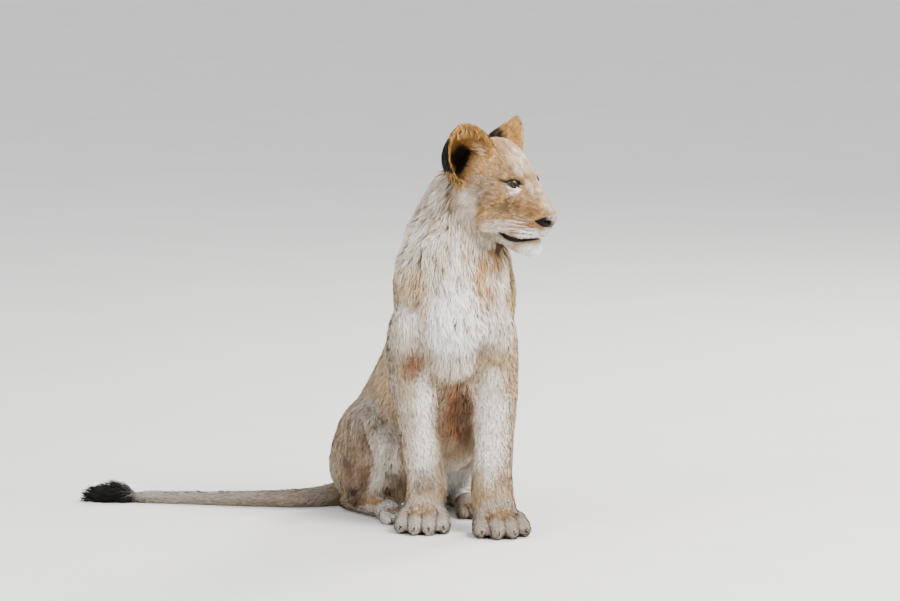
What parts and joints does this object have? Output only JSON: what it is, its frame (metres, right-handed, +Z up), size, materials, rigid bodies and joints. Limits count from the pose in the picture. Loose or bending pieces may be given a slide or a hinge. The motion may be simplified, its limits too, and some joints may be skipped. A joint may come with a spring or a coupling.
{
  "type": "lion",
  "caption": "Young lion sitting upright with straight forelegs, its head turned to its left and its tail lying along the floor.",
  "frame": {"origin": "On the floor, below the middle of the bounding box.", "axes": "+Z is up, the chest faces -Y, and +X is the lion's left. The tail lies towards -X and the head is turned towards +X."},
  "size_m": [1.0984, 0.5692, 0.9361],
  "materials": {
    "golden_coat": "short soft golden-tan fur",
    "pale_coat": "longer cream and grey-tan fur",
    "sandy_coat": "short grey-tan fur with faint rosettes",
    "paw_coat": "very short cream fur",
    "black_tuft": "long black hair",
    "eye": "wet, glossy amber-grey eye with a round black pupil",
    "nose_skin": "moist, finely pebbled nose and lip skin",
    "claw": "smooth dark horn"
  },
  "bodies": {
    "root": {"head": "golden_coat", "neck": "pale_coat", "trunk": "sandy_coat", "foreleg_left": "pale_coat", "foreleg_right": "pale_coat", "forepaw_left": "paw_coat", "forepaw_right": "paw_coat", "hindleg_left": "sandy_coat", "hindleg_right": "sandy_coat", "hindpaw_left": "paw_coat", "hindpaw_right": "paw_coat", "ear_left": "golden_coat", "ear_right": "golden_coat", "eye_left": "eye", "eye_right": "eye", "tail": "sandy_coat", "tail_tuft": "black_tuft"}
  },
  "joints": []
}
